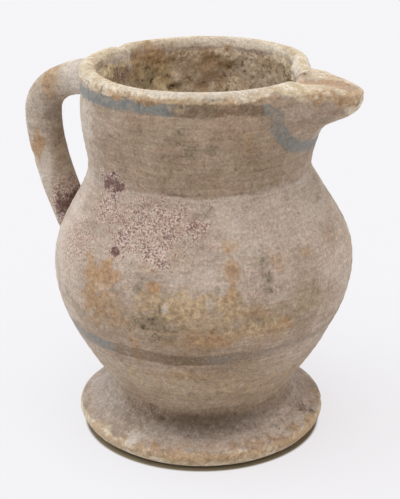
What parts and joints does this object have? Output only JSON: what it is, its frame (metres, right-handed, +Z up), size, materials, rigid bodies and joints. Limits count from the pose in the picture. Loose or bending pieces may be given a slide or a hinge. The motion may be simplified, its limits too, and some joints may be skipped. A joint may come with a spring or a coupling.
{
  "type": "pitcher",
  "caption": "Round-bellied footed terracotta pitcher with a pinched beak spout, a rolled rim and a bent strap handle, for holding and pouring liquid.",
  "frame": {"origin": "centre of the flat underside of the foot, on the axis that the foot and belly were thrown about", "axes": "+Z up along the axis of the pot, +X towards the spout with the handle on -X, +Y to the left of someone looking along +X"},
  "size_m": [0.2048, 0.1664, 0.2095],
  "materials": {
    "foot_clay": "matt bare clay, worn to tan along its lower edge",
    "belly_slip": "matt weathered slip with ochre and dark patches and one worn painted band",
    "neck_slip": "matt weathered slip, one worn painted band, rough crust inside the mouth",
    "spout_slip": "matt rough clay with an orange-brown streak along the trough",
    "handle_slip": "matt weathered slip with ochre patches"
  },
  "bodies": {
    "root": {"foot": "foot_clay", "belly": "belly_slip", "neck": "neck_slip", "spout": "spout_slip", "handle": "handle_slip"}
  },
  "joints": []
}
